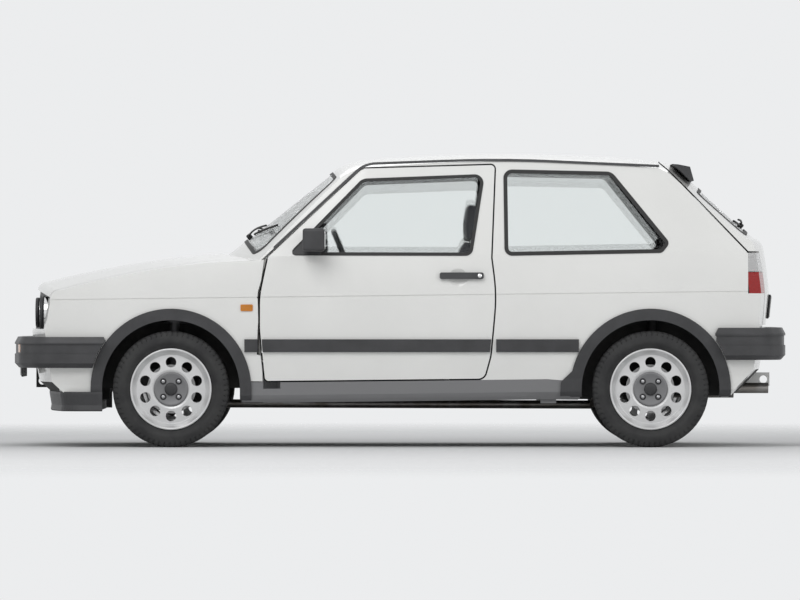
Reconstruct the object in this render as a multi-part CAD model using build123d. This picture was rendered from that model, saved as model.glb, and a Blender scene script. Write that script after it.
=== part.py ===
from build123d import *
import math
import os

# Overall sizes, mm; +X to the rear, +Y to the car's right, +Z up, origin on the floor
FRONT_OVERHANG = 820
WHEELBASE = 2455
REAR_OVERHANG = 710
LENGTH = FRONT_OVERHANG + WHEELBASE + REAR_OVERHANG
NOSE_X = -LENGTH / 2
TAIL_X = LENGTH / 2
FRONT_AXLE_X = NOSE_X + FRONT_OVERHANG
REAR_AXLE_X = TAIL_X - REAR_OVERHANG
HALF_WIDTH = 828
CREASE_Z = 775
PLAN_BOW_R = 40000
BODY_RAKE = 0.7
SHUT_GAP = 8
TOW_BORE_R = 20
# Jacking pads under the sills: x, height of the flat face
JACK_PADS = [(-560, 222), (760, 225)]

# Wheels
TYRE_R = 297.75
TYRE_W = 195
RIM_R = 209
WHEEL_Y = 712
SPINDLE_R = 16
RUNNING_GAP = 0.05
HOLE_R = 27
HOLE_RING_R = 138
HOLE_COUNT = 10
ARCH_R = 362
ARCH_TRIM_R = 412
ARCH_TRIM_IN_R = 353
SILL_TOP_Z = 334
STEER_BALL = (FRONT_AXLE_X, 655, 200)
STRUT_TOP = (FRONT_AXLE_X + 22, 560, 840)

# Door hinge
HINGE_X = -677
HINGE_Y = 785
HINGE_R = 60
HINGE_POCKET_R = 66
# Hollow behind the fender for the swinging door edge: height, radius about the hinge
HINGE_POCKET = [(330, 26), (400, 36), (470, 46), (475, 62), (604, 62.5), (640, 61),
                (775, 63), (800, 60), (850, 46), (900, 36), (960, 24), (1010, 23)]
HINGE_PIN_R = 7
HINGE_HEIGHTS = (440, 800)

# Wall thicknesses
DOOR_WALL = 95
FRAME_WALL = 42
FENDER_WALL = 45
SKIN = 40
SEAL_W = 20
GLASS = 6

# Cross section of the body side: half width, height, outward bulge of the run up to it
SECTION = [
    (772, 236, 0),
    (800, 275, 4),
    (804, 340, 0),
    (828, 775, 9),
    (802, 985, 4),
    (652, 1462, 8),
    (604, 1620, 0),
]
# Inner face of the side wall: half width outside, height, share of the thick lower wall
INNER = [
    (772, 236, 1),
    (804, 340, 1),
    (828, 775, 1),
    (806, 952, 1),
    (802, 990, 0),
    (652, 1462, 0),
    (604, 1620, 0),
]
# Middle section of the cabin: x, z, shift back and shift up at the sides, bulge of the run up to it
CABIN = [
    (-955, 940, 215, 0, 0),
    (-330, 1432, 35, -70, 0),
    (-205, 1479, 20, -70, 7),
    (1322, 1478, -10, -70, 34),
    (1425, 1448, -60, -70, 3),
    (1839, 1072, -85, 0, 0),
    (1886, 1028, -80, 0, 9),
    (1917, 785, -70, 0, 4),
    (1897, 600, -60, 0, 0),
    (1866, 398, -60, 0, 0),
    (1690, 215, -60, 0, 0),
    (-700, 215, 0, 0, 0),
    (-955, 640, 215, 0, 0),
]
# Middle section of the nose, same columns
NOSE = [
    (-1793, 262, 98, 0, 0),
    (-1872, 334, 98, 0, 0),
    (-1890, 420, 98, 0, 0),
    (-1912, 590, 98, 0, 0),
    (-1884, 806, 98, -48, 0),
    (-1834, 850, 98, -48, 12),
    (-927, 996, 0, -48, 21),
    (-500, 1016, 0, -48, 0),
    (-500, 230, 0, 0, 0),
    (-1700, 230, 98, 0, 0),
]

# Side-view outlines, x and z
ROOF_LINE = [(-1100, 940), (-730, 940), (-183, 1452), (512, 1478), (1420, 1437), (1420, 1800), (-1100, 1800)]
ROOF_LINE_R = [0.5, 0.5, 150, 7000, 0.5, 0.5, 0.5]
DOOR = [(-674, 975), (-193, 1428), (486, 1447), (466, 970), (490, 780), (462, 470), (430, 352),
        (-690, 340), (-716, 600), (-716, 775)]
DOOR_R = [25, 60, 20, 60, 900, 200, 40, 20, 600, 500]
DOOR_WINDOW = [(-579, 982), (-193, 1377), (436, 1401), (369, 980)]
DOOR_WINDOW_R = [20, 60, 45, 40]
QUARTER_WINDOW = [(530, 1425), (1086, 1413), (1383, 1046), (1342, 995), (535, 980)]
QUARTER_WINDOW_R = [45, 60, 30, 30, 40]
HATCH = [(1345, 1800), (1345, 1462), (1784, 1004), (1784, 626), (2100, 626), (2100, 1800)]
LAMP_INNER_Y = 612
LAMP_Z = (788, 996)
LAMP_X = 1782


def outline(points, radius=0, grow=0):
    wire = FilletPolyline(*points, radius=radius, close=True) if radius else Polyline(*points, close=True)
    face = make_face(wire)
    return offset(face, grow) if grow else face


def across(face, y0, y1):
    return extrude(Plane.XZ.offset(-y0) * face, y1 - y0, dir=(0, 1, 0))


def upward(face, z0, z1):
    return extrude(Plane.XY.offset(z0) * face, z1 - z0, dir=(0, 0, 1))


def block(x0, x1, y0, y1, z0, z1):
    return Pos((x0 + x1) / 2, (y0 + y1) / 2, (z0 + z1) / 2) * Box(x1 - x0, y1 - y0, z1 - z0)


def rod(start, end, radius):
    start = Vector(start)
    reach = Vector(end) - start
    bar = Cylinder(radius, reach.length, align=(Align.CENTER, Align.CENTER, Align.MIN))
    return Plane(start, z_dir=reach) * bar


def disc_y(x, y0, y1, z, radius):
    return rod((x, y0, z), (x, y1, z), radius)


def flip(shape):
    return mirror(shape, about=Plane.XZ)


def run(start, end, bulge):
    """Line or arc in a plane, bulging to the left of its direction when positive."""
    if not bulge:
        return Line(start, end)
    reach = Vector(end) - Vector(start)
    side = Vector(-reach.Y, reach.X, 0).normalized() * bulge
    middle = (Vector(start) + Vector(end)) * 0.5 + side
    return ThreePointArc(start, middle, end)


def swept(face):
    """Carries a cross section along the gently bowed, raked body side."""
    axis = Axis((0, HALF_WIDTH - PLAN_BOW_R, 0), (0, 0, 1))
    solid = revolve(face.rotate(axis, 3.2), axis, -6.4)
    return solid.rotate(Axis((0, 0, CREASE_Z), (0, 1, 0)), -BODY_RAKE)


def section_runs(out):
    points = [(y + out, z) for y, z, _ in SECTION]
    bulges = [b for _, _, b in SECTION]
    return points, [run(a, b, -k) for a, b, k in zip(points, points[1:], bulges[1:])]


def section_face(out, inner, inner_runs):
    outer, edges = section_runs(out)
    edges += inner_runs + [Line(outer[-1], inner[-1]), Line(inner[0], outer[0])]
    return Plane.YZ * make_face(edges)


def inner_line(low, high):
    return [(y - (low if thick else high), z) for y, z, thick in INNER]


def band(out, low, high):
    """Right-hand side wall from OUT outside the skin to LOW or HIGH inside it."""
    inner = inner_line(low, high)
    return swept(section_face(out, inner, [Line(a, b) for a, b in zip(inner, inner[1:])]))


def layer(out, deep):
    """Even layer of the right-hand side between two offsets from the skin."""
    return swept(section_face(out, *section_runs(-deep)))


def between_sides(right):
    """Full-width body bounded by a right-hand half section and its mirror."""
    return right & flip(right)


def half_mass(points, bulges):
    edges = [run(a, b, -k) for a, b, k in zip(points, points[1:], bulges)]
    corners = [points[-1], (-1100, points[-1][1]), (-1100, points[0][1]), points[0]]
    edges += [Line(a, b) for a, b in zip(corners, corners[1:])]
    return swept(Plane.YZ * make_face(edges))


def inset(points, depth):
    moved = []
    count = len(points)
    for i, (x, z) in enumerate(points):
        before = Vector(x, z) - Vector(*points[i - 1])
        after = Vector(*points[(i + 1) % count]) - Vector(x, z)
        n1 = Vector(before.Y, -before.X).normalized()
        n2 = Vector(after.Y, -after.X).normalized()
        step = (n1 + n2) * (depth / (1 + n1.dot(n2)))
        moved.append((x + step.X, z + step.Y))
    return moved


def lofted(table, depth=0):
    """Loft across the car: the middle section, and side sections with their shifts."""
    faces = []
    for y in (-850, 0, 850):
        share = (y / 800) ** 2
        points = inset([(x + dx * share, z + dz * share) for x, z, dx, dz, _ in table], depth)
        bulges = [row[4] for row in table]
        count = len(points)
        edges = [run(points[i - 1], points[i], bulges[i]) for i in range(count)]
        faces.append(Plane.XZ.offset(-y) * make_face(edges))
    return loft(faces)


def lowered(table, z_limit, drop):
    return [(x, z - (drop if z < z_limit else 0), dx, dz, b) for x, z, dx, dz, b in table]


def axis_point(share):
    return Vector(STEER_BALL) + (Vector(STRUT_TOP) - Vector(STEER_BALL)) * share


# Body masses
outer_points = [(y, z) for y, z, _ in SECTION]
outer_bulges = [b for _, _, b in SECTION][1:]
skin_sides = between_sides(half_mass(outer_points, outer_bulges))
cab_inner_sides = between_sides(half_mass(inner_line(DOOR_WALL, FRAME_WALL), [0] * 6))
nose_inner_sides = between_sides(half_mass(inner_line(FENDER_WALL, FENDER_WALL), [0] * 6))
cabin_outer = lofted(CABIN) & skin_sides
cabin_foot = block(-900, 1650, -690, 690, 60, 300)
cabin_inner = lofted(lowered(CABIN, 300, 120), SKIN) & (cab_inner_sides + cabin_foot)
nose_outer = lofted(NOSE) & skin_sides
nose_foot = block(-1700, -500, -740, 740, 60, 300)
nose_inner = lofted(lowered(NOSE, 300, 150), SKIN) & (nose_inner_sides + nose_foot)
cabin_shell = cabin_outer - cabin_inner
nose_shell = nose_outer - nose_inner

# Cutters
EVERY_Y = (-1100, 1100)
RIGHT_Y = (250, 1100)
roof_zone = across(outline(ROOF_LINE, ROOF_LINE_R), *EVERY_Y)
hatch_face = outline(HATCH)
door_hole = across(outline(DOOR, DOOR_R, SHUT_GAP), *RIGHT_Y)
door_zone = across(outline(DOOR, DOOR_R), *RIGHT_Y)
hinge_pocket = upward(Pos(HINGE_X, HINGE_Y) * Circle(HINGE_POCKET_R), 300, 1040)
hinge_round = upward(Pos(HINGE_X, HINGE_Y) * Circle(HINGE_R), 100, 1100)
door_window = across(outline(DOOR_WINDOW, DOOR_WINDOW_R), *RIGHT_Y)
quarter_window = across(outline(QUARTER_WINDOW, QUARTER_WINDOW_R), *RIGHT_Y)
rear_arch = disc_y(REAR_AXLE_X, 400, 1000, TYRE_R, ARCH_R) + block(
    REAR_AXLE_X - ARCH_R, REAR_AXLE_X + ARCH_R, 400, 1000, 0, TYRE_R)
front_arch = disc_y(FRONT_AXLE_X, 400, 1000, TYRE_R, ARCH_R) + block(
    FRONT_AXLE_X - ARCH_R, FRONT_AXLE_X + ARCH_R, 400, 1000, 0, TYRE_R)
lamp_zone = block(LAMP_X, 2100, LAMP_INNER_Y + SHUT_GAP, 1000, *LAMP_Z)
lamp_cut = block(LAMP_X, 2100, LAMP_INNER_Y - 10, 1000, LAMP_Z[0], LAMP_Z[1] + 4)
hatch_zone = across(hatch_face, *EVERY_Y)
for side in (1, -1):
    hatch_zone -= block(1600, 2200, *sorted((side * LAMP_INNER_Y, side * 1200)), 0, 1004)
hatch_hole = across(offset(hatch_face, SHUT_GAP), *EVERY_Y)
for side in (1, -1):
    lamp_edge = side * (LAMP_INNER_Y + SHUT_GAP)
    hatch_hole -= block(1600, 2200, *sorted((lamp_edge, side * 1200)), 0, 1004 - SHUT_GAP)
screen_plane = Plane((-585, 0, 1232), x_dir=(0, -1, 0), z_dir=(-0.617, 0, 0.787))
screen_face = outline([(-728, -285), (728, -285), (592, 300), (-592, 300)], 70)
screen_hole = extrude(screen_plane * screen_face, 300, both=True)
screen_sight = extrude(screen_plane * offset(screen_face, -SEAL_W), 300, both=True)
rear_plane = Plane((1674, 0, 1220), x_dir=(0, 1, 0), z_dir=(0.669, 0, 0.743))
rear_face = outline([(-630, -170), (630, -170), (545, 170), (-545, 170)], 60)
rear_hole = extrude(rear_plane * rear_face, 120, both=True)
rear_sight = extrude(rear_plane * offset(rear_face, -SEAL_W), 120, both=True)
bonnet_plan = outline([(-2100, -756), (-2100, 756), (-1450, 745), (-760, 700), (-760, -700), (-1450, -745)])
bonnet_wedge = lofted([(-2100, 812, 98, -48, 0), (-2100, 1200, 98, 0, 0), (-300, 1200, 0, 0, 0),
                       (-300, 812, 0, -48, 0)])
bonnet_wedge_hole = lofted([(-2100, 804, 98, -48, 0), (-2100, 1200, 98, 0, 0), (-300, 1200, 0, 0, 0),
                            (-300, 804, 0, -48, 0)])
bonnet_back = lofted([(-2300, 300, 0, 0, 0), (-2300, 1400, 0, 0, 0), (-927, 1400, 180, 0, 0),
                      (-927, 300, 180, 0, 0)])
bonnet_back_hole = lofted([(-2300, 300, 0, 0, 0), (-2300, 1400, 0, 0, 0), (-919, 1400, 180, 0, 0),
                           (-919, 300, 180, 0, 0)])
bonnet_zone = upward(bonnet_plan, 500, 1200) & bonnet_wedge & bonnet_back
bonnet_hole = upward(offset(bonnet_plan, 7), 500, 1200) & bonnet_wedge_hole & bonnet_back_hole

# Body sides, screen frame, roof
side_shell = cabin_shell - roof_zone - hatch_hole - door_hole - quarter_window - rear_arch - lamp_cut
side_shell &= block(-717 - SHUT_GAP, 2500, 640, 1200, 0, 2000) + block(-640, 1650, 400, 1200, 900, 2000)
a_post = block(-842, -750, 712, 772, 240, 930) + block(-842, -690, 690, 772, 240, 325)
a_post -= disc_y(FRONT_AXLE_X, 600, 900, TYRE_R, 389)
for x, z in JACK_PADS:
    a_post += block(x - 40, x + 40, 690, 745, z, 260)
body_side = side_shell + a_post - hinge_pocket
front_half = block(-1200, -150, -1100, 1100, 900, 2000)
screen_frame = (cabin_shell & roof_zone & front_half) - screen_hole - bonnet_hole
roof_panel = (cabin_shell & roof_zone & block(-150, 2200, -1100, 1100, 900, 2000)) - hatch_hole
rear_panel = cabin_shell & block(1500, 2100, -640, 640, 200, 612)
body_side -= rear_panel

# Screen, quarter windows and their seals
glass_skin = lofted(CABIN, 4) - lofted(CABIN, 4 + GLASS)
seal_skin = lofted(CABIN, -3) - lofted(CABIN, 22)
rear_half = block(1300, 2100, -1100, 1100, 900, 2000)
windscreen = glass_skin & screen_sight & front_half
screen_seal = (seal_skin & screen_hole & front_half) - screen_sight
quarter_sight = across(outline(QUARTER_WINDOW, QUARTER_WINDOW_R, -SEAL_W), *RIGHT_Y)
door_sight = across(outline(DOOR_WINDOW, DOOR_WINDOW_R, -SEAL_W + 3), *RIGHT_Y)
quarter_seal = (layer(3, 22) & quarter_window) - quarter_sight
quarter_glass = layer(-6, 12) & quarter_sight

# Tailgate
hatch_panel = (cabin_shell & hatch_zone) - rear_hole
hatch_glass = glass_skin & rear_sight & rear_half
hatch_seal = (seal_skin & rear_hole & rear_half) - rear_sight
spoiler_side = outline([(1400, 1454), (1431, 1452), (1492, 1440), (1512, 1368), (1495, 1366), (1440, 1420)])
hatch_spoiler = across(spoiler_side, -560, 560) - cabin_outer

# Fenders, bonnet and nose panel
fender_face = outline([(-2100, 100), (-704, 100), (-704, 700), (-660, 960), (-660, 1100), (-2100, 1100)])
fender_side = across(fender_face, *RIGHT_Y) - door_hole
nose_box = block(-2100, -1745, -768, 768, 0, 1000)
fender = (nose_shell & fender_side) - bonnet_hole - nose_box - front_arch
for (low_z, low_r), (high_z, high_r) in zip(HINGE_POCKET, HINGE_POCKET[1:]):
    cone = Cone(low_r, high_r, high_z - low_z)
    fender -= Pos(HINGE_X, HINGE_Y, (low_z + high_z) / 2) * cone
fender = fender - screen_frame - body_side
fender &= block(-2100, -600, 690, 1000, 0, 1200)
fender -= block(-900, -600, 600, 1000, 0, SILL_TOP_Z + 4)
sill_end = (nose_shell & block(-830, -700, 690, 1000, 0, SILL_TOP_Z)) - front_arch
body_side += sill_end
screen_seal -= fender + flip(fender)
bonnet = nose_shell & bonnet_zone
GRILLE_HALF = 742
GRILLE_Z = (606, 1000)
grille_zone = block(-2100, -1700, -GRILLE_HALF, GRILLE_HALF, *GRILLE_Z)
tow_slot = block(-2000, -1755, 385, 435, 285, 412)
front_panel = (nose_shell & nose_box) - grille_zone - bonnet_wedge_hole - tow_slot

# Headlamps: distance from the middle, radius
HEADLAMPS = [(622, 80), (436, 66)]
LAMP_CENTRE_Z = 690
grille_depth = block(-2100, -1760, -800, 800, 500, 1000)
grille = (lofted(NOSE, 16) - lofted(NOSE, 46)) & grille_zone & grille_depth
grille -= bonnet_wedge_hole
headlamps = []
for y, radius in HEADLAMPS:
    face_x = -1898 + 98 * (y / 800) ** 2
    for side in (1, -1):
        barrel = rod((face_x - 60, side * y, LAMP_CENTRE_Z), (face_x + 90, side * y, LAMP_CENTRE_Z), radius)
        dome_r = 2.4 * radius
        dome = Pos(face_x - 4 + dome_r, side * y, LAMP_CENTRE_Z) * Sphere(dome_r)
        headlamps.append(barrel & dome)
        grille -= barrel
for z in range(625, 770, 32):
    groove = block(-2100, -1600, -345, 345, z, z + 14) & (lofted(NOSE, 10) - lofted(NOSE, 34))
    grille -= groove

# Bumpers
front_plan = outline([(NOSE_X, -330), (NOSE_X, 330), (-1955, 690), (-1850, 836), (-1500, 846), (-1500, -846),
                      (-1850, -836), (-1955, -690)], [900, 900, 160, 160, 5, 5, 160, 160])


def bumper_bar(plan, z0, z1):
    """Bumper cover with bevelled edges and a shallow band round its middle."""
    bar = upward(plan, z0 + 24, z1 - 30)
    bar += loft([Plane.XY.offset(z1 - 30) * plan, Plane.XY.offset(z1) * offset(plan, -16)])
    bar += loft([Plane.XY.offset(z0) * offset(plan, -22), Plane.XY.offset(z0 + 24) * plan])
    middle = (z0 + z1) / 2
    return bar - (upward(offset(plan, 20), middle - 8, middle + 42) - upward(offset(plan, -6), z0, z1))


front_bumper = bumper_bar(front_plan, 406, 565) - nose_outer - block(-1700, -1400, -780, 780, 300, 700)
for side in (1, -1):
    front_bumper -= disc_y(FRONT_AXLE_X, side * 500, side * 1000, TYRE_R, ARCH_TRIM_R + 4)
indicator_zone = block(-2010, -1948, 540, 680, 486, 527)
indicator = front_bumper & indicator_zone
front_bumper -= indicator_zone + flip(indicator_zone)
rear_plan = outline([(TAIL_X, 330), (TAIL_X, -330), (1968, -690), (1870, -836), (1613, -846), (1613, 846),
                     (1870, 836), (1968, 690)], [900, 900, 160, 160, 5, 5, 160, 160])
rear_bumper = bumper_bar(rear_plan, 447, 612) - cabin_outer
for side in (1, -1):
    rear_bumper -= disc_y(REAR_AXLE_X, side * 500, side * 1000, TYRE_R, ARCH_TRIM_R + 4)
lip_plan = outline([(-1800, -330), (-1800, 330), (-1740, 690), (-1640, 772), (-1545, 780), (-1545, -780),
                    (-1640, -772), (-1740, -690)], [900, 900, 120, 60, 5, 5, 60, 120])
front_spoiler = upward(lip_plan, 185, 276) - upward(offset(lip_plan, -28), 100, 262) - nose_outer
for side in (1, -1):
    front_spoiler -= disc_y(FRONT_AXLE_X, side * 500, side * 1000, TYRE_R, ARCH_TRIM_R + 4)

# Tail lamps, arch trims, rub strips, gutters
tail_lamp = (cabin_outer - lofted(CABIN, 60)) & lamp_zone & block(1700, 2100, 0, 1000, 700, 1100)
tail_lamp -= body_side
tail_lamp -= block(1600, 2200, 500, 1000, 896.5, 899.5)
arch_skin = layer(12, 0)


def arch_shape(x, radius):
    return disc_y(x, 300, 1100, TYRE_R, radius) + block(x - radius, x + radius, 300, 1100, 100, TYRE_R)


front_ring = arch_shape(FRONT_AXLE_X, ARCH_TRIM_R) - arch_shape(FRONT_AXLE_X, ARCH_TRIM_IN_R)
rear_ring = arch_shape(REAR_AXLE_X, ARCH_TRIM_R) - arch_shape(REAR_AXLE_X, ARCH_TRIM_IN_R)
front_arch_trim = arch_skin & front_ring & block(-2000, -500, 400, 1000, 240, 900)
rear_arch_trim = arch_skin & rear_ring & block(500, 2000, 400, 1000, 258, 900)
foot = across(outline([(960, 470), (893, 402), (824, 336), (820, 262), (945, 262)]), *RIGHT_Y)
rear_arch_trim += (arch_skin & foot) - disc_y(REAR_AXLE_X, 300, 1100, TYRE_R, 380)
repeater = layer(5, 0) & across(outline([(-816, 697), (-753, 697), (-753, 731), (-816, 731)], 6), *RIGHT_Y)
strip_skin = layer(14, 0)
STRIP_Z = (487, 553)
fender_strip = strip_skin & block(-796, -728, 500, 1000, *STRIP_Z)
door_strip = strip_skin & block(-706, 478, 500, 1000, *STRIP_Z) & across(outline(DOOR, DOOR_R, -3), *RIGHT_Y)
quarter_strip = strip_skin & block(492, 915, 500, 1000, *STRIP_Z)
gutter_face = outline(ROOF_LINE, ROOF_LINE_R, 6) - outline(ROOF_LINE, ROOF_LINE_R, -7)
gutter_trim = layer(7, 0) & across(gutter_face, *RIGHT_Y) & block(-646, 1330, 300, 1000, 980, 1500)

# Doors
door_panel = (band(0, DOOR_WALL, FRAME_WALL) & door_zone) - door_window
door_panel -= block(-900, HINGE_X, 300, 1000, 0, 1200) - hinge_round
fan = [(HINGE_X, HINGE_Y)]
for angle in (136, 180, 222, 262):
    fan.append((HINGE_X + 95 * math.cos(math.radians(angle)), HINGE_Y + 95 * math.sin(math.radians(angle))))
notch = outline(fan) + Pos(HINGE_X, HINGE_Y) * Circle(22)
for z in HINGE_HEIGHTS:
    pin = rod((HINGE_X, HINGE_Y, z - 40), (HINGE_X, HINGE_Y, z + 40), HINGE_PIN_R)
    body_side += pin + rod((HINGE_X, HINGE_Y, z), (-757, 692, z), 6)
    body_side += block(-790, -752, 680, 720, z - 20, z + 20)
    door_panel -= upward(notch, z - 14, z + 14)
    door_panel -= rod((HINGE_X, HINGE_Y, z - 44), (HINGE_X, HINGE_Y, z + 44), HINGE_PIN_R + RUNNING_GAP)
door_seal = (layer(3, 36) & door_window) - door_sight
door_glass = layer(-12, 17) & door_sight
sail = layer(4, 0) & across(outline([(-562, 986), (-425, 1126), (-400, 986)], 8), *RIGHT_Y)
sail -= door_seal
mirror_shell = block(-497, -384, 815, 965, 1002, 1120)
mirror_shell = fillet(mirror_shell.edges(), 16)
mirror_foot = block(-470, -410, 780, 830, 1020, 1060) - layer(0, 60)
handle = layer(20, 0) & across(outline([(203, 861), (428, 861), (428, 895), (203, 895)], 10), *RIGHT_Y)

# Inner structure
liner_front = disc_y(FRONT_AXLE_X, 440, 755, TYRE_R, 387) - disc_y(FRONT_AXLE_X, 450, 900, TYRE_R, 377)
liner_front &= block(-1700, -700, 400, 900, 300, 900)
liner_front -= block(FRONT_AXLE_X - 170, FRONT_AXLE_X + 170, 430, 460, 280, 480)
strut_axis = Vector(STRUT_TOP) - Vector(STEER_BALL)
tower_top = Vector(STRUT_TOP) + strut_axis * 0.05
tower_foot = Vector(STRUT_TOP) - strut_axis * 0.3
tower_hollow_top = Vector(STRUT_TOP) + strut_axis * 0.02
tower = rod(tower_foot, tower_top, 92) - rod(tower_foot - strut_axis * 0.1, tower_hollow_top, 80)
tower -= disc_y(FRONT_AXLE_X, 300, 1000, TYRE_R, 381)
liner_front -= rod(tower_foot - strut_axis * 0.2, tower_top, 80)
liner_rear = disc_y(REAR_AXLE_X, 500, 738, TYRE_R, 374) - disc_y(REAR_AXLE_X, 510, 900, TYRE_R, ARCH_R)
liner_rear &= block(800, 1800, 400, 900, 262, 900)
liner_rear -= body_side
liner_front -= fender
liner_front -= sill_end
rail = block(-1800, -780, 352, 440, 400, 480)
tow_plate = block(-1910, -1780, 402, 418, 296, 402) + block(-1800, -1770, 402, 418, 390, 440)
tow_plate -= disc_y(-1878, 300, 500, 330, TOW_BORE_R)
rear_tow_plate = block(1800, 1940, 402, 418, 302, 374) - disc_y(1908, 300, 500, 338, TOW_BORE_R)
cross_member = block(-1800, -1740, -560, 560, 400, 470) + block(-1790, -1755, -330, 330, 440, 760)
inner_front = cross_member - front_panel
rail -= front_panel
floor_path = Polyline((-790, 890), (-790, 440), (-640, 262), (980, 252), (1060, 480), (1500, 480),
                      (1800, 420))
floor_pan = across(make_face(offset(floor_path, 9, side=Side.BOTH)), -735, 735)
tunnel = across(outline([(-700, 250), (900, 250), (900, 350), (-640, 420)]), -110, 110)
floor_pan += tunnel - across(outline([(-720, 200), (960, 200), (900, 330), (-660, 400)]), -92, 92)
for side_piece in (body_side, liner_rear, hinge_pocket):
    floor_pan -= side_piece
    floor_pan -= flip(side_piece)
floor_pan -= door_zone + flip(door_zone)
floor_pan -= rear_panel
floor_pan -= fender + flip(fender)
floor_pan -= rear_arch & block(500, 2000, 510, 800, 0, 600)
for side in (1, -1):
    floor_pan -= disc_y(REAR_AXLE_X, side * 500, side * 900, TYRE_R, 374)

rail -= floor_pan
engine = block(-1500, -1130, -320, 320, 280, 760) + block(-1140, -1010, -320, 320, 320, 760)
engine += rod((FRONT_AXLE_X, -570, TYRE_R), (FRONT_AXLE_X, 570, TYRE_R), 15)
subframe = block(-1120, -1000, -430, 430, 230, 290)
for side in (1, -1):
    subframe += block(-1100, -1040, *sorted((side * 360, side * 430)), 285, 400)
    engine += rod((-1300, side * 300, 440), (-1300, side * 352, 440), 30)
exhaust = rod((-1030, 150, 430), (-945, 150, 340), 22) + rod((-945, 150, 350), (-940, 150, 205), 22)
exhaust += rod((-950, 150, 214), (1000, 150, 208), 22) - engine
exhaust -= engine
muffler = block(1400, 1720, -480, -160, 250, 400)
muffler = fillet(muffler.edges().filter_by(Axis.X), 60)
exhaust += rod((1000, 150, 208), (1120, -50, 400), 22) + rod((1120, -50, 400), (1420, -300, 340), 22)
exhaust += muffler + rod((1700, -380, 300), (1901, -380, 300), 27)
exhaust += rod((1560, -320, 380), (1560, -320, 500), 8)
exhaust -= floor_pan
rear_axle = rod((1180, -560, 265), (1180, 560, 265), 34)
for side in (1, -1):
    subframe += rod((-1060, side * 400, 262), (FRONT_AXLE_X, side * 648, 172), 16)
    rear_axle += rod((1060, side * 470, 300), (REAR_AXLE_X, side * 600, 290), 28)
    rear_axle += rod((1062, side * 470, 290), (1095, side * 470, 480), 20)
    rear_axle += rod((REAR_AXLE_X, side * 560, TYRE_R), (REAR_AXLE_X, side * 668, TYRE_R), 32)
    rear_axle += rod((REAR_AXLE_X, side * 600, TYRE_R), (REAR_AXLE_X, side * 720, TYRE_R), SPINDLE_R)
    rear_axle += rod((REAR_AXLE_X, side * 562, 300), (REAR_AXLE_X + 20, side * 552, 690), 26)
rear_axle -= liner_rear
rear_axle -= flip(liner_rear)
rear_axle -= floor_pan
rear_panel -= rod((1600, -380, 300), (2000, -380, 300), 36)

# Knuckle with its strut
ball_pin = rod(axis_point(-0.05), axis_point(-0.01), 18) + rod(axis_point(-0.03), axis_point(0.06), 12)
subframe += ball_pin
subframe += flip(ball_pin)
knuckle = rod((FRONT_AXLE_X, 600, TYRE_R), (FRONT_AXLE_X, 666, TYRE_R), 50)
knuckle += rod(axis_point(0), axis_point(0.12), 20)
knuckle -= rod(axis_point(-0.1), axis_point(0.063), 12.05)
knuckle += rod((FRONT_AXLE_X, 650, TYRE_R), (FRONT_AXLE_X, 720, TYRE_R), SPINDLE_R)
knuckle += block(FRONT_AXLE_X - 26, FRONT_AXLE_X + 30, 560, 630, 320, 420)
knuckle += rod((FRONT_AXLE_X + 4, 577, 330), STRUT_TOP, 25)
knuckle += rod((FRONT_AXLE_X + 16, 567, 635), (FRONT_AXLE_X + 21, 561, 815), 58)

# Wheels
tyre_half = TYRE_W / 2
tyre_profile = outline([(RIM_R, -tyre_half + 14), (RIM_R + 40, -tyre_half), (TYRE_R, -tyre_half + 8),
                        (TYRE_R, tyre_half - 8), (RIM_R + 40, tyre_half), (RIM_R, tyre_half - 14)],
                       [2, 30, 22, 22, 30, 2])
rim_profile = outline([(RIM_R, -84), (RIM_R, 84), (198, 84), (186, 66), (176, 56), (100, 62), (60, 50),
                       (0.01, 50), (0.01, 36), (60, 36), (100, 46), (172, 40), (188, -60), (198, -84)], 2)
spin = Axis((0, 0, 0), (0, 1, 0))
tyre = revolve(Plane.XY * tyre_profile, spin, 360)
wheel = revolve(Plane.XY * rim_profile, spin, 360)
for i in range(HOLE_COUNT):
    angle = math.radians(90 + 36 * i)
    hole = disc_y(HOLE_RING_R * math.cos(angle), 0, 100, HOLE_RING_R * math.sin(angle), HOLE_R)
    wheel -= hole
wheel += disc_y(0, -24, 40, 0, 48) + disc_y(0, -28, -14, 0, 125)
wheel -= disc_y(0, -60, 10, 0, SPINDLE_R + RUNNING_GAP)

# Cabin
seat_side = outline([(-140, 262), (330, 262), (330, 300), (210, 340), (420, 1040), (330, 1050), (190, 500),
                     (-60, 470), (-150, 440)], [5, 5, 20, 60, 40, 40, 60, 60, 30])
headrest = across(outline([(330, 1060), (400, 1060), (408, 1240), (345, 1247)], 25), 290, 530)
post = rod((375, 410, 1000), (375, 410, 1080), 8)
front_seat = across(seat_side, 170, 655) + headrest + post
front_seat -= floor_pan
rear_side = outline([(760, 262), (975, 262), (1075, 500), (1330, 500), (1300, 960), (1220, 960), (1120, 560),
                     (780, 520)], [5, 5, 5, 5, 40, 40, 60, 40])
rear_seat = across(rear_side, -480, 480) - floor_pan - liner_rear - flip(liner_rear)
dash_side = outline([(-778, 700), (-470, 660), (-440, 820), (-500, 950), (-778, 945)], 30)
dashboard = across(dash_side, -668, 668)
WHEEL_CENTRE = Vector(-275, -360, 949)
WHEEL_AXIS = Vector(0.9205, 0, 0.3907)
dashboard += rod(WHEEL_CENTRE - WHEEL_AXIS * 260, WHEEL_CENTRE - WHEEL_AXIS * 60, 32)
dashboard -= floor_pan
dashboard -= screen_frame
dashboard += rod(WHEEL_CENTRE - WHEEL_AXIS * 70, WHEEL_CENTRE - WHEEL_AXIS * 20, 10)
steer_plane = Plane(WHEEL_CENTRE, z_dir=WHEEL_AXIS)
wheel_spokes = Pos(0, 0, -6) * Box(340, 40, 12) + Pos(0, -85, -6) * Box(40, 170, 12)
steering_wheel = steer_plane * (Torus(172, 14) + Pos(0, 0, -25) * Cylinder(45, 44) + wheel_spokes)
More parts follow.
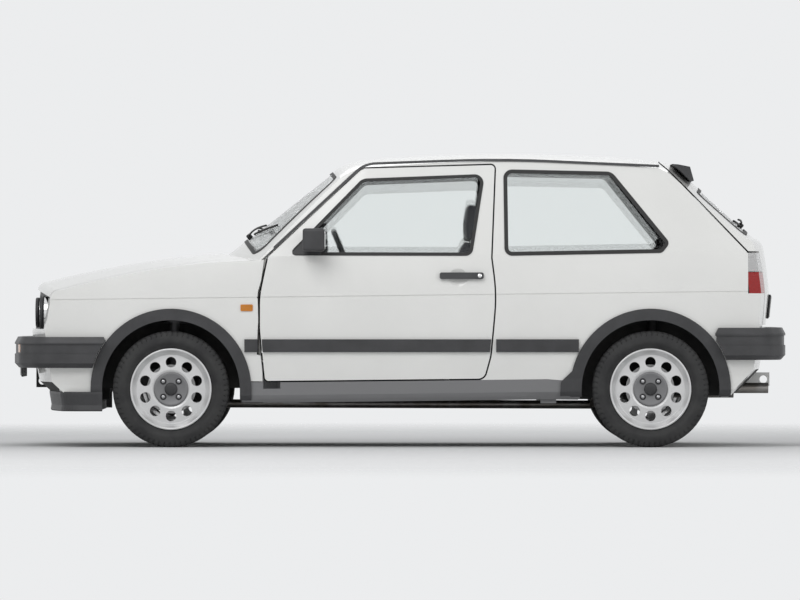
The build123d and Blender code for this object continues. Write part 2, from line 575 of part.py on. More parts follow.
steering_wheel -= rod(WHEEL_CENTRE - WHEEL_AXIS * 80, WHEEL_CENTRE - WHEEL_AXIS * 17, 10 + RUNNING_GAP)


def pair(shape):
    return Compound(children=[*shape.solids(), *flip(shape).solids()])


def group(*shapes):
    return Compound(children=[s for shape in shapes for s in shape.solids()])


# Crease along the body side and the hollow behind the door handle
crease_face = outline([(HALF_WIDTH - 4, CREASE_Z - 3), (HALF_WIDTH + 20, CREASE_Z - 3),
                       (HALF_WIDTH + 20, CREASE_Z + 4), (HALF_WIDTH - 4, CREASE_Z + 4)])
crease = swept(Plane.YZ * crease_face)
body_side -= crease
fender -= crease
scoop = Pos(298, 920, 879) * Sphere(112)
door_panel -= crease + scoop

# Every node's solids
nodes = {
    "body_side_right": body_side,
    "body_side_left": flip(body_side),
    "screen_frame": screen_frame,
    "roof_panel": roof_panel,
    "rear_panel": rear_panel + rear_tow_plate,
    "fender_right": fender,
    "fender_left": flip(fender),
    "front_panel": front_panel,
    "windscreen": windscreen,
    "window_seals": group(screen_seal, quarter_seal, flip(quarter_seal)),
    "quarter_glass": pair(quarter_glass),
    "grille": grille,
    "headlamps": group(*headlamps),
    "front_bumper": front_bumper,
    "rear_bumper": rear_bumper,
    "indicators": group(indicator, flip(indicator), repeater, flip(repeater)),
    "tail_lamps": pair(tail_lamp),
    "front_spoiler": front_spoiler,
    "arch_trims": group(front_arch_trim, rear_arch_trim, flip(front_arch_trim), flip(rear_arch_trim)),
    "side_trims": group(fender_strip, quarter_strip, flip(fender_strip), flip(quarter_strip), gutter_trim,
                        flip(gutter_trim)),
    "floor_pan": floor_pan,
    "front_rails": group((rail + flip(rail) + inner_front - front_panel) + tow_plate),
    "wheelhouses": group(liner_front + tower, flip(liner_front + tower), liner_rear, flip(liner_rear)),
    "engine": engine,
    "subframe": subframe,
    "exhaust": exhaust,
    "rear_axle": rear_axle,
    "front_seats": pair(front_seat),
    "rear_seat": rear_seat,
    "dashboard": dashboard,
    "bonnet": bonnet,
    "hatch_panel": hatch_panel,
    "hatch_glass": hatch_glass,
    "hatch_seal": hatch_seal,
    "hatch_spoiler": hatch_spoiler,
    "steering_wheel": steering_wheel,
}
fittings = group(door_strip, sail + mirror_foot + mirror_shell, handle)
DOOR_NODES = [("panel", door_panel), ("glass", door_glass), ("seal", door_seal), ("fittings", fittings)]
for name, shape in DOOR_NODES:
    nodes[f"door_{name}_right"] = shape
    nodes[f"door_{name}_left"] = flip(shape)
nodes["knuckle_right"] = knuckle
nodes["knuckle_left"] = flip(knuckle)
WHEELS = [("front_right", FRONT_AXLE_X, 1), ("front_left", FRONT_AXLE_X, -1), ("rear_right", REAR_AXLE_X, 1),
          ("rear_left", REAR_AXLE_X, -1)]
for corner, x, side in WHEELS:
    place = Pos(x, side * WHEEL_Y, TYRE_R)
    nodes[f"wheel_{corner}"] = place * (wheel if side > 0 else flip(wheel))
    nodes[f"tyre_{corner}"] = place * (tyre if side > 0 else flip(tyre))

os.makedirs("parts", exist_ok=True)
for name, shape in nodes.items():
    export_step(shape, f"parts/{name}.step")
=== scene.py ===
import math
import bpy
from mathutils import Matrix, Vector
from mathutils.bvhtree import BVHTree


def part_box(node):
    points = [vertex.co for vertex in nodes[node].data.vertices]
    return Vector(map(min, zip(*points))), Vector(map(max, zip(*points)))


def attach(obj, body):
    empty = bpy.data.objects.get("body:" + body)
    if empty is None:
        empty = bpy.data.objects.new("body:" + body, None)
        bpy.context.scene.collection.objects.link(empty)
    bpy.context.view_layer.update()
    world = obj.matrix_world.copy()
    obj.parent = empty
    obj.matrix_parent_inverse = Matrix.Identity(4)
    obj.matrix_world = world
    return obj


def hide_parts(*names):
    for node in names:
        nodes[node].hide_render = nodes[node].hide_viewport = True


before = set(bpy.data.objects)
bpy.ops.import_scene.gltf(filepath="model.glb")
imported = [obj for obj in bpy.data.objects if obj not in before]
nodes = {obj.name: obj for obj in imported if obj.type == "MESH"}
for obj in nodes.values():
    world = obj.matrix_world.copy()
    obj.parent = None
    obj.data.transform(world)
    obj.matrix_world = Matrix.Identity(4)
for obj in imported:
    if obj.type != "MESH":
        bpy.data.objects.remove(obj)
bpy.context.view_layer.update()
CORNERS = ["front_right", "front_left", "rear_right", "rear_left"]
SIDES = [("right", 1), ("left", -1)]
FULL_TURN = 2 * math.pi

# Distance between the bands of a wave texture whose scale is 1
WAVE_PITCH = 0.314


# Materials
def shader(name, colour, rough, **values):
    """Plain material with a colour, a roughness and further inputs by name."""
    made = bpy.data.materials.new(name)
    made.use_nodes = True
    principled = made.node_tree.nodes["Principled BSDF"]
    principled.inputs["Base Color"].default_value = (*colour, 1)
    principled.inputs["Roughness"].default_value = rough
    for key, value in values.items():
        principled.inputs[key.replace("_", " ")].default_value = value
    return made


def add_noise(made, scale, detail=4):
    """Noise in the object's own frame."""
    tree = made.node_tree
    place = tree.nodes.new("ShaderNodeTexCoord")
    noise = tree.nodes.new("ShaderNodeTexNoise")
    noise.inputs["Scale"].default_value = scale
    noise.inputs["Detail"].default_value = detail
    tree.links.new(place.outputs["Object"], noise.inputs["Vector"])
    return noise.outputs["Fac"]


def add_wave(made, axis, pitch):
    """Even bands across one axis."""
    tree = made.node_tree
    place = tree.nodes.new("ShaderNodeTexCoord")
    wave = tree.nodes.new("ShaderNodeTexWave")
    wave.bands_direction = axis
    wave.inputs["Scale"].default_value = WAVE_PITCH / pitch
    tree.links.new(place.outputs["Object"], wave.inputs["Vector"])
    return wave


def add_bump(made, height, strength, distance):
    tree = made.node_tree
    bump = tree.nodes.new("ShaderNodeBump")
    bump.inputs["Strength"].default_value = strength
    bump.inputs["Distance"].default_value = distance
    tree.links.new(height, bump.inputs["Height"])
    tree.links.new(bump.outputs["Normal"], tree.nodes["Principled BSDF"].inputs["Normal"])
    return made


def grain(made, scale, strength, rough_low=None, rough_high=None, distance=0.001):
    """Fine surface grain as a bump, with an optional spread of roughness."""
    height = add_noise(made, scale)
    if rough_low is not None:
        tree = made.node_tree
        spread_rough = tree.nodes.new("ShaderNodeMapRange")
        spread_rough.inputs["To Min"].default_value = rough_low
        spread_rough.inputs["To Max"].default_value = rough_high
        tree.links.new(height, spread_rough.inputs["Value"])
        tree.links.new(spread_rough.outputs["Result"], tree.nodes["Principled BSDF"].inputs["Roughness"])
    return add_bump(made, height, strength, distance)


def mottle(made, dark, light, scale, edges=(0.35, 0.65), detail=6):
    """Slow change of colour between two shades."""
    tree = made.node_tree
    ramp = tree.nodes.new("ShaderNodeValToRGB")
    for element, edge, colour in zip(ramp.color_ramp.elements, edges, (dark, light)):
        element.position = edge
        element.color = (*colour, 1)
    tree.links.new(add_noise(made, scale, detail), ramp.inputs["Fac"])
    tree.links.new(ramp.outputs["Color"], tree.nodes["Principled BSDF"].inputs["Base Color"])
    return made


def ribbed(made, axis, pitch, strength, distance):
    """Straight moulded flutes across one axis."""
    wave = add_wave(made, axis, pitch)
    return add_bump(made, wave.outputs["Fac"], strength, distance)


def woven(made, pitch, wander=0.6, strength=0.5, distance=0.0008):
    """Cloth weave of two crossed thread directions."""
    tree = made.node_tree
    total = tree.nodes.new("ShaderNodeMath")
    total.operation = "ADD"
    for socket, axis in enumerate(("Y", "Z")):
        wave = add_wave(made, axis, pitch)
        wave.inputs["Distortion"].default_value = wander
        tree.links.new(wave.outputs["Fac"], total.inputs[socket])
    return add_bump(made, total.outputs["Value"], strength, distance)


paint = mottle(shader("white_paint", (0.8, 0.8, 0.78), 0.34, Coat_Weight=0.7, Coat_Roughness=0.05),
               (0.79, 0.79, 0.77), (0.82, 0.82, 0.8), 3)
plastic = grain(shader("black_plastic", (0.028, 0.028, 0.03), 0.5), 900, 0.25, 0.42, 0.6)
trim = grain(mottle(shader("charcoal_trim", (0.04, 0.04, 0.043), 0.5),
                    (0.034, 0.034, 0.036), (0.05, 0.05, 0.053), 8), 900, 0.25, 0.42, 0.58)
rubber = grain(shader("seal_rubber", (0.012, 0.012, 0.012), 0.6), 600, 0.15)
tyre_rubber = grain(mottle(shader("tyre_rubber", (0.02, 0.02, 0.021), 0.72),
                           (0.016, 0.016, 0.017), (0.03, 0.03, 0.03), 14), 500, 0.3, 0.62, 0.82)
sill_paint = grain(shader("grey_sill", (0.2, 0.2, 0.205), 0.55), 700, 0.25, 0.5, 0.65)
# Dark underbody paint, also used as painted shade on the hinge posts behind the fenders
under_paint = grain(mottle(shader("under_paint", (0.02, 0.02, 0.021), 0.7),
                           (0.014, 0.014, 0.014), (0.032, 0.031, 0.03), 9), 300, 0.4)
lining = grain(shader("cabin_lining", (0.1, 0.1, 0.105), 0.8), 500, 0.35, 0.7, 0.9)
headlining = grain(shader("roof_lining", (0.5, 0.49, 0.47), 0.9), 700, 0.4)
cast = grain(shader("cast_metal", (0.16, 0.16, 0.165), 0.55, Metallic=0.7), 250, 0.5, 0.45, 0.65)
pipe = grain(mottle(shader("pipe_steel", (0.3, 0.29, 0.28), 0.38, Metallic=0.9),
                    (0.22, 0.2, 0.18), (0.36, 0.35, 0.34), 12), 200, 0.2)
alloy = grain(shader("wheel_paint", (0.66, 0.66, 0.66), 0.33, Metallic=0.35, Coat_Weight=0.3), 1200, 0.08)
hub_grey = grain(shader("hub_grey", (0.2, 0.2, 0.205), 0.42, Metallic=0.3), 800, 0.15)
chrome = grain(shader("chrome", (0.8, 0.8, 0.8), 0.08, Metallic=1.0), 400, 0.02)
steel = grain(shader("bolt_steel", (0.42, 0.42, 0.43), 0.32, Metallic=0.9), 600, 0.15)
cloth = woven(shader("seat_cloth", (0.075, 0.075, 0.082), 0.9, Sheen_Weight=0.3), 0.003)
amber = ribbed(shader("amber_lens", (0.75, 0.27, 0.02), 0.2, Transmission_Weight=0.3),
               "Z", 0.006, 0.4, 0.001)
red = ribbed(shader("red_lens", (0.4, 0.012, 0.012), 0.2, Transmission_Weight=0.25),
             "Z", 0.008, 0.4, 0.001)
smoke = ribbed(shader("clear_lens", (0.75, 0.75, 0.75), 0.15, Transmission_Weight=0.4),
               "Z", 0.008, 0.4, 0.001)
lens = ribbed(shader("lamp_glass", (0.93, 0.95, 0.95), 0.05, Transmission_Weight=0.9, IOR=1.45),
              "Y", 0.012, 0.5, 0.0015)
blank = grain(shader("plate_white", (0.8, 0.8, 0.78), 0.4), 300, 0.05)
glass = grain(shader("window_glass", (0.86, 0.9, 0.89), 0.02, Transmission_Weight=1.0, IOR=1.1, Alpha=0.5),
              2, 0.004)

LOOKS = {
    paint: ["body_side_right", "body_side_left", "screen_frame", "roof_panel", "rear_panel", "fender_right",
            "fender_left", "front_panel", "bonnet", "hatch_panel", "door_panel_right", "door_panel_left"],
    glass: ["windscreen", "quarter_glass", "hatch_glass", "door_glass_right", "door_glass_left"],
    rubber: ["window_seals", "hatch_seal", "door_seal_right", "door_seal_left"],
    trim: ["front_bumper", "rear_bumper", "front_spoiler", "arch_trims", "side_trims", "hatch_spoiler",
           "door_fittings_right", "door_fittings_left"],
    plastic: ["grille", "dashboard", "steering_wheel"],
    lens: ["headlamps"],
    amber: ["indicators"],
    red: ["tail_lamps"],
    under_paint: ["floor_pan", "front_rails", "wheelhouses", "subframe", "rear_axle"],
    cast: ["engine", "knuckle_right", "knuckle_left"],
    pipe: ["exhaust"],
    cloth: ["front_seats", "rear_seat"],
    alloy: [f"wheel_{corner}" for corner in CORNERS],
    tyre_rubber: [f"tyre_{corner}" for corner in CORNERS],
}
for look, names in LOOKS.items():
    for name in names:
        mesh = nodes[name].data
        mesh.materials.clear()
        mesh.materials.append(look)


def repaint(name, look, wanted):
    """Gives a second material to the faces of a node whose centre and normal pass a test."""
    mesh = nodes[name].data
    mesh.materials.append(look)
    for face in mesh.polygons:
        if wanted(face.center, face.normal):
            face.material_index = len(mesh.materials) - 1


# Linings, grey sills, dark inner faces and painted shade on the hinge posts; a face is turned a way when that
# much of its normal points there
TURNED = 0.6
PANEL_TURNED = 0.5
HATCH_TURNED = 0.55
SILL_TOP = 0.342
SILL_END_X = 0.93
HINGE_POST_X = -0.735
WAIST_Z = 0.93
CLEAR_LENS_Z = 0.9
for side_name, side in SIDES:
    body_side = f"body_side_{side_name}"
    repaint(body_side, lining, lambda c, n: n.y * side < -TURNED)
    repaint(body_side, sill_paint, lambda c, n: c.z < SILL_TOP and c.x < SILL_END_X)
    # Painted shade: the hinge post between sill and waist, shaded behind the fender, is given the dark
    # underbody colour
    repaint(body_side, under_paint, lambda c, n: c.x < HINGE_POST_X and SILL_TOP < c.z < WAIST_Z)
    repaint(f"door_panel_{side_name}", lining, lambda c, n: n.y * side < -TURNED)
    repaint(f"fender_{side_name}", under_paint, lambda c, n: n.y * side < -TURNED)
for name in ("rear_panel", "front_panel"):
    repaint(name, under_paint, lambda c, n: n.z < -PANEL_TURNED)
repaint("hatch_panel", lining, lambda c, n: n.x < -HATCH_TURNED)
repaint("bonnet", under_paint, lambda c, n: n.z < -TURNED)
repaint("roof_panel", headlining, lambda c, n: n.z < -TURNED)
repaint("tail_lamps", smoke, lambda c, n: c.z > CLEAR_LENS_Z)
repaint("headlamps", chrome, lambda c, n: n.x > -TURNED)


# Making and placing pieces
def add_piece(name, points, faces, look, body, smooth=True):
    """Mesh piece with one material, carried by a body."""
    mesh = bpy.data.meshes.new(name)
    mesh.from_pydata([tuple(p) for p in points], [], faces)
    mesh.materials.append(look)
    for face in mesh.polygons:
        face.use_smooth = smooth
    piece = bpy.data.objects.new(name, mesh)
    bpy.context.collection.objects.link(piece)
    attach(piece, body)
    return piece


def ring_faces(rings, count, closed=False):
    """Quads between rings of points, each ring of the same count."""
    faces = []
    for i in range(rings if closed else rings - 1):
        low = i * count
        high = (i + 1) % rings * count
        for j in range(count):
            k = (j + 1) % count
            faces.append((low + j, low + k, high + k, high + j))
    return faces


def capped_faces(rings, count):
    """Quads between rings of points, with a face over each end."""
    last = (rings - 1) * count
    ends = [tuple(range(count))[::-1], tuple(range(last, last + count))]
    return ring_faces(rings, count) + ends


def turned_points(profile, place, axis, segments):
    """Points of a profile of radius and distance along the axis, turned round the axis."""
    turn = Vector(axis).to_track_quat("Z", "Y").to_matrix()
    points = []
    for radius, along in profile:
        for j in range(segments):
            angle = FULL_TURN * j / segments
            spoke = Vector((radius * math.cos(angle), radius * math.sin(angle), along))
            points.append(Vector(place) + turn @ spoke)
    return points


def turned(name, profile, place, axis, segments, look, body):
    """Solid piece turned from a profile that runs from its foot to its tip."""
    points = turned_points(profile, place, axis, segments)
    return add_piece(name, points, capped_faces(len(profile), segments), look, body)


def turned_ring(name, profile, place, axis, segments, look, body):
    """Ring turned from a closed profile."""
    points = turned_points(profile, place, axis, segments)
    return add_piece(name, points, ring_faces(len(profile), segments, closed=True), look, body)


def tube_points(path, radius, count):
    points = []
    for i, here in enumerate(path):
        ahead = path[min(i + 1, len(path) - 1)] - path[max(i - 1, 0)]
        turn = ahead.to_track_quat("Z", "Y").to_matrix()
        for j in range(count):
            angle = FULL_TURN * j / count
            points.append(here + turn @ Vector((radius * math.cos(angle), radius * math.sin(angle), 0)))
    return points


def tube(name, path, radius, look, body, count=10):
    """Round bar along a path."""
    path = [Vector(p) for p in path]
    return add_piece(name, tube_points(path, radius, count), capped_faces(len(path), count), look, body)


QUARTERS = [(1, 1), (-1, 1), (-1, -1), (1, -1)]
CORNER_STEPS = 6
RIM_SHARE = 0.4


def rounded_plate(name, centre, across, up, size, thick, corner, look, body):
    """Flat plate with round corners and a bevelled rim; across and up are its unit directions."""
    across = Vector(across)
    up = Vector(up)
    out = across.cross(up)
    half_width = size[0] / 2
    half_height = size[1] / 2
    outline = []
    for quarter, (sx, sy) in enumerate(QUARTERS):
        for step in range(CORNER_STEPS + 1):
            angle = math.radians(90 * quarter + 90 / CORNER_STEPS * step)
            outline.append((sx * (half_width - corner) + corner * math.cos(angle),
                            sy * (half_height - corner) + corner * math.sin(angle)))
    rim = thick * RIM_SHARE
    layers = [(0, 0), (0, thick - rim), (rim, thick)]
    points = []
    for shrink, lift in layers:
        scale_x = (half_width - shrink) / half_width
        scale_y = (half_height - shrink) / half_height
        for x, y in outline:
            points.append(Vector(centre) + across * x * scale_x + up * y * scale_y + out * lift)
    return add_piece(name, points, capped_faces(len(layers), len(outline)), look, body, smooth=False)


def squared(value, power):
    """Sine or cosine pushed toward a square; a power of 1 leaves it round."""
    return math.copysign(abs(value) ** power, value)


surfaces = {}


def on_surface(name, start, way):
    """Point and normal where a ray meets a node."""
    if name not in surfaces:
        mesh = nodes[name].data
        corners = [v.co for v in mesh.vertices]
        surfaces[name] = BVHTree.FromPolygons(corners, [tuple(f.vertices) for f in mesh.polygons])
    point, normal, _, _ = surfaces[name].ray_cast(Vector(start), Vector(way))
    return point, normal


# Seats: pads with a spine of x, z and thickness, crowned across and drawn in at the seams
PAD_RINGS = 61
PAD_POINTS = 56
SLOPE_STEP = 0.02
WIDE_POWER = 0.36
DEEP_POWER = 0.5
END_POWER = 9
END_WIDTH = 0.955
CROWN = 0.1
SEAM_SHARE = 0.018
SEAM_WAIST = 0.012
SIDE_SEAM_WIDTH = 0.008
SEAM_DEPTH = 0.010
SEAM_LIMIT = 1.2


def spread(spine, share):
    """Row of a spine at a share of its length, eased between the rows given."""
    place = share * (len(spine) - 1)
    low = min(int(place), len(spine) - 2)
    part = place - low
    smooth_part = part * part * (3 - 2 * part) if len(spine) > 2 else part
    return [a + (b - a) * smooth_part for a, b in zip(spine[low], spine[low + 1])]


def pad(name, spine, y_low, y_high, seams, side_seams):
    """Padded piece along a spine; seams are shares of its length, side seams are distances y."""
    middle_y = (y_low + y_high) / 2
    half_y = (y_high - y_low) / 2
    points = []
    for i in range(PAD_RINGS):
        share = i / (PAD_RINGS - 1)
        x, z, thick = spread(spine, share)
        before = spread(spine, max(share - SLOPE_STEP, 0))
        after = spread(spine, min(share + SLOPE_STEP, 1))
        along = Vector((after[0] - before[0], 0, after[1] - before[1])).normalized()
        face_way = Vector((-along.z, 0, along.x))
        span = 2 * share - 1
        end = max(1 - abs(span) ** END_POWER, 0.0) ** (1 / 3)
        end_width = END_WIDTH + (1 - END_WIDTH) * end
        pull = sum(math.exp(-((share - s) / SEAM_SHARE) ** 2) for s in seams)
        for j in range(PAD_POINTS):
            angle = FULL_TURN * j / PAD_POINTS
            wide = squared(math.cos(angle), WIDE_POWER)
            deep = squared(math.sin(angle), DEEP_POWER)
            y = middle_y + half_y * wide * end_width * (1 - SEAM_WAIST * pull)
            crown = 1 + CROWN * (1 - wide * wide) * (1 - span * span)
            tuck = pull + sum(math.exp(-((y - s) / SIDE_SEAM_WIDTH) ** 2) for s in side_seams)
            lift = thick / 2 * deep * end * crown
            if deep > 0:
                lift -= SEAM_DEPTH * min(tuck, SEAM_LIMIT) * deep * end
            points.append(Vector((x, y, z)) + face_way * lift)
    piece = add_piece(name, points, capped_faces(PAD_RINGS, PAD_POINTS), cloth, "body")
    return piece


def thicker(spine, extra):
    return [(x, z, thick + extra) for x, z, thick in spine]


# Spine rows: x, z, thickness, in metres
CUSHION = [(-0.145, 0.398, 0.1), (0.0, 0.415, 0.13), (0.185, 0.432, 0.125)]
BACKREST = [(0.228, 0.4, 0.1), (0.262, 0.6, 0.115), (0.325, 0.85, 0.105), (0.372, 1.044, 0.08)]
HEADREST = [(0.367, 1.062, 0.062), (0.37, 1.15, 0.074), (0.377, 1.244, 0.06)]
REAR_CUSHION = [(0.765, 0.43, 0.14), (0.93, 0.45, 0.17), (1.1, 0.47, 0.15)]
REAR_BACKREST = [(1.125, 0.52, 0.08), (1.19, 0.75, 0.1), (1.258, 0.958, 0.075)]
SEAT_MIDDLE = 0.4125
SEAT_HALF = 0.2425
BOLSTER = 0.085
BOLSTER_LAP = 0.004
HEADREST_HALF = 0.12
REAR_SEAT_HALF = 0.478
REAR_CUSHION_SEAMS = (0.35, 0.7)
REAR_BACKREST_SEAMS = (0.3, 0.6)
REAR_SIDE_SEAMS = (-0.16, 0.16)
# How full each kind of pad is
# Pads of a front seat: name, spine, seams, extra thickness of its bolsters
SEAT_PADS = [
    ("cushion", CUSHION, (0.32, 0.62), 0.03),
    ("back", BACKREST, (0.25, 0.45, 0.65), 0.025),
]
# Seat frame: name, distance either side of the seat's middle, path as x and z, radius, look
SEAT_TUBES = [
    ("headrest_post", 0.05, [(0.36, 1.0), (0.366, 1.04), (0.37, 1.09)], 0.006, chrome),
    ("seat_rail", 0.19, [(-0.12, 0.272), (0.1, 0.272), (0.32, 0.272)], 0.014, steel),
    ("seat_leg", 0.19, [(-0.06, 0.272), (-0.07, 0.32), (-0.08, 0.37)], 0.012, steel),
    ("seat_hind_leg", 0.19, [(0.28, 0.272), (0.25, 0.33), (0.2, 0.4)], 0.012, steel),
]


def front_seat(side_name, middle):
    """Cushion, backrest, bolsters, headrest and frame of one seat; gives back the cushion."""
    made = {}
    inner = SEAT_HALF - BOLSTER
    for part, spine, seams, extra in SEAT_PADS:
        made[part] = pad(f"seat_{part}_{side_name}", spine, middle - inner, middle + inner, seams, ())
        for edge_name, edge in (("outer", 1), ("inner", -1)):
            low, high = sorted((middle + edge * (inner - BOLSTER_LAP), middle + edge * SEAT_HALF))
            pad(f"seat_{part}_bolster_{edge_name}_{side_name}", thicker(spine, extra), low, high, (), ())
    pad(f"headrest_{side_name}", HEADREST, middle - HEADREST_HALF, middle + HEADREST_HALF, (), ())
    for part, reach, path, radius, look in SEAT_TUBES:
        for letter, y in (("a", middle - reach), ("b", middle + reach)):
            points = [(x, y, z) for x, z in path]
            tube(f"{part}_{letter}_{side_name}", points, radius, look, "body")
    return made["cushion"]


for side_name, side in SIDES:
    cushion = front_seat(side_name, side * SEAT_MIDDLE)
    if side > 0:
        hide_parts("front_seats")
rear_cushion = pad("rear_cushion", REAR_CUSHION, -REAR_SEAT_HALF, REAR_SEAT_HALF,
                   REAR_CUSHION_SEAMS, REAR_SIDE_SEAMS)
pad("rear_backrest", REAR_BACKREST, -REAR_SEAT_HALF, REAR_SEAT_HALF,
    REAR_BACKREST_SEAMS, REAR_SIDE_SEAMS)
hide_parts("rear_seat")


# Tyres: a road tread of ribs and shoulder blocks over plain side walls
TYRE_BLOCKS = 64
BLOCK_STEPS = 5
TREAD_SKEW = 0.25
TYRE_WALL = 0.0885
GROOVES = (0.052, 0.018)
GROOVE_DEPTH = 0.006
GROOVE_TOP_HALF = 0.0045
GROOVE_FLOOR_HALF = 0.0035
wheel_box = {corner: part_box(f"tyre_{corner}") for corner in CORNERS}


def tyre_profile(half, rim, outer):
    """Radius, distance across, and whether the point is on the shoulder blocks."""
    rows = [(rim, half - 0.014, 0), (rim + 0.006, half - 0.011, 0), (rim + 0.012, half - 0.009, 0),
            (rim + 0.014, half - 0.006, 0), (rim + 0.020, half - 0.005, 0), (rim + 0.022, half - 0.002, 0),
            (rim + 0.040, half, 0), (rim + 0.060, half - 0.003, 0), (outer - 0.021, half - 0.006, 0),
            (outer - 0.020, half - 0.006, 1), (outer - 0.007, half - 0.011, 1),
            (outer - 0.002, half - 0.018, 1), (outer, half - 0.030, 1), (outer, half - 0.040, 1)]
    for middle in GROOVES:
        rows.append((outer, middle + GROOVE_TOP_HALF, 0))
        rows.append((outer - GROOVE_DEPTH, middle + GROOVE_FLOOR_HALF, 0))
        rows.append((outer - GROOVE_DEPTH, middle - GROOVE_FLOOR_HALF, 0))
        rows.append((outer, middle - GROOVE_TOP_HALF, 0))
    return rows + [(radius, -along, block) for radius, along, block in rows[::-1]]


def tyre_piece(corner):
    """Treaded tyre in the place of the plain one."""
    low, high = wheel_box[corner]
    middle = (low + high) / 2
    outer = (high.z - low.z) / 2
    half = (high.y - low.y) / 2
    rows = tyre_profile(half, outer - TYRE_WALL, outer)
    segments = TYRE_BLOCKS * BLOCK_STEPS
    points = []
    for radius, along, block in rows:
        skew = TREAD_SKEW * along / half * FULL_TURN / TYRE_BLOCKS
        for j in range(segments):
            cut = GROOVE_DEPTH if block and j % BLOCK_STEPS == 0 else 0
            angle = FULL_TURN * j / segments + skew
            reach = radius - cut
            points.append(middle + Vector((reach * math.cos(angle), along, reach * math.sin(angle))))
    faces = ring_faces(len(rows), segments, closed=True)
    piece = add_piece(f"road_tyre_{corner}", points, faces, tyre_rubber, f"wheel_{corner}")
    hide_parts(f"tyre_{corner}")
    return piece


# Wheel trim: grey centre, cap and bolts, as radius and distance out of the wheel's middle plane
HUB_PLATE = [(0.0, 0.045), (0.088, 0.058), (0.088, 0.0635), (0.084, 0.0665), (0.078, 0.0665), (0.070, 0.063),
             (0.04, 0.0615), (0.0, 0.0615)]
HUB_CAP = [(0.033, 0.058), (0.033, 0.067), (0.031, 0.071), (0.025, 0.0735), (0.012, 0.075), (0.001, 0.0755)]
BOLT_SEAT = [(0.0165, 0.059), (0.0165, 0.0645), (0.0145, 0.0655), (0.012, 0.063), (0.001, 0.063)]
BOLT_HEAD = [(0.0095, 0.06), (0.0095, 0.070), (0.0080, 0.0715), (0.001, 0.072)]
RIM_LIP = [(0.2085, 0.0842), (0.2085, 0.0885), (0.2060, 0.0902), (0.2010, 0.0902), (0.1985, 0.0885),
           (0.1985, 0.0842)]
BOLT_COUNT = 4
BOLT_RING = 0.056
FIRST_BOLT = 45
for corner in CORNERS:
    tyre_piece(corner)
    low, high = wheel_box[corner]
    middle = (low + high) / 2
    out = (0, 1 if middle.y > 0 else -1, 0)
    body = f"wheel_{corner}"
    turned(f"hub_plate_{corner}", HUB_PLATE, middle, out, 64, hub_grey, body)
    turned(f"hub_cap_{corner}", HUB_CAP, middle, out, 48, plastic, body)
    turned_ring(f"rim_lip_{corner}", RIM_LIP, middle, out, 96, alloy, body)
    for i in range(BOLT_COUNT):
        angle = math.radians(FIRST_BOLT + 360 / BOLT_COUNT * i)
        place = middle + Vector((BOLT_RING * math.cos(angle), 0, BOLT_RING * math.sin(angle)))
        turned(f"bolt_seat_{i}_{corner}", BOLT_SEAT, place, out, 24, plastic, body)
        turned(f"wheel_bolt_{i}_{corner}", BOLT_HEAD, place, out, 6, steel, body)


# The front is bowed: it lies further back by FRONT_BOW at BOW_REACH from the middle
FRONT_BOW = 0.098
BOW_REACH = 0.8


def bowed(x, y):
    return x + FRONT_BOW * (y / BOW_REACH) ** 2


# Headlamp rims: distance from the middle, radius
HEADLAMPS = [(0.622, 0.080), (0.436, 0.066)]
LAMP_Z = 0.690
NOSE_X = -1.898
RIM_SET = 0.012
# Section of a rim: distance out from the lamp's radius, distance forward
LAMP_RIM = [(0.001, 0.0), (0.010, 0.001), (0.011, 0.016), (0.006, 0.021), (-0.003, 0.0165), (-0.003, 0.006)]
for i, (y, radius) in enumerate(HEADLAMPS):
    section = [(radius + out, along) for out, along in LAMP_RIM]
    for side_name, side in SIDES:
        place = (bowed(NOSE_X, y) + RIM_SET, side * y, LAMP_Z)
        turned_ring(f"lamp_rim_{i}_{side_name}", section, place, (-1, 0, 0), 72, plastic, "body")


# Mirror glass
MIRROR_X = -0.3845
MIRROR_Y = 0.89
MIRROR_Z = 1.061
MIRROR_SIZE = (0.122, 0.092)
MIRROR_THICK = 0.003
MIRROR_CORNER = 0.014
for side_name, side in SIDES:
    rounded_plate(f"mirror_glass_{side_name}", (MIRROR_X, side * MIRROR_Y, MIRROR_Z), (0, 1, 0), (0, 0, 1),
                  MIRROR_SIZE, MIRROR_THICK, MIRROR_CORNER, chrome, f"door_{side_name}")

# Blank plates: the front one hangs on the bumper's lower edge, the rear one on the tailgate
PLATE_SIZE = (0.52, 0.11)
PLATE_CORNER = 0.01
HOLDER_SIZE = (0.54, 0.125)
HOLDER_THICK = 0.008
HOLDER_CORNER = 0.012
FRONT_PLATE_Z = 0.419
FRONT_PLATE_SET = 0.032
FRONT_PLATE_THICK = 0.006
FRONT_HOLDER_SET = 0.0395
REAR_PLATE_Z = 0.72
REAR_PLATE_LIFT = 0.003
REAR_PLATE_THICK = 0.005
REAR_HOLDER_SINK = 0.004
BEHIND_X = 2.4
front_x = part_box("front_bumper")[0].x
rounded_plate("front_plate", (front_x + FRONT_PLATE_SET, 0, FRONT_PLATE_Z), (0, -1, 0), (0, 0, 1),
              PLATE_SIZE, FRONT_PLATE_THICK, PLATE_CORNER, blank, "body")
rounded_plate("front_plate_holder", (front_x + FRONT_HOLDER_SET, 0, FRONT_PLATE_Z), (0, -1, 0), (0, 0, 1),
              HOLDER_SIZE, HOLDER_THICK, HOLDER_CORNER, plastic, "body")
point, normal = on_surface("hatch_panel", (BEHIND_X, 0, REAR_PLATE_Z), (-1, 0, 0))
plate_up = normal.cross(Vector((0, 1, 0))).normalized()
if plate_up.z < 0:
    plate_up = -plate_up
plate_across = plate_up.cross(normal)
rounded_plate("rear_plate_holder", point - normal * REAR_HOLDER_SINK, plate_across, plate_up,
              HOLDER_SIZE, HOLDER_THICK, HOLDER_CORNER, plastic, "hatch")
rounded_plate("rear_plate", point + normal * REAR_PLATE_LIFT, plate_across, plate_up,
              PLATE_SIZE, REAR_PLATE_THICK, PLATE_CORNER, blank, "hatch")

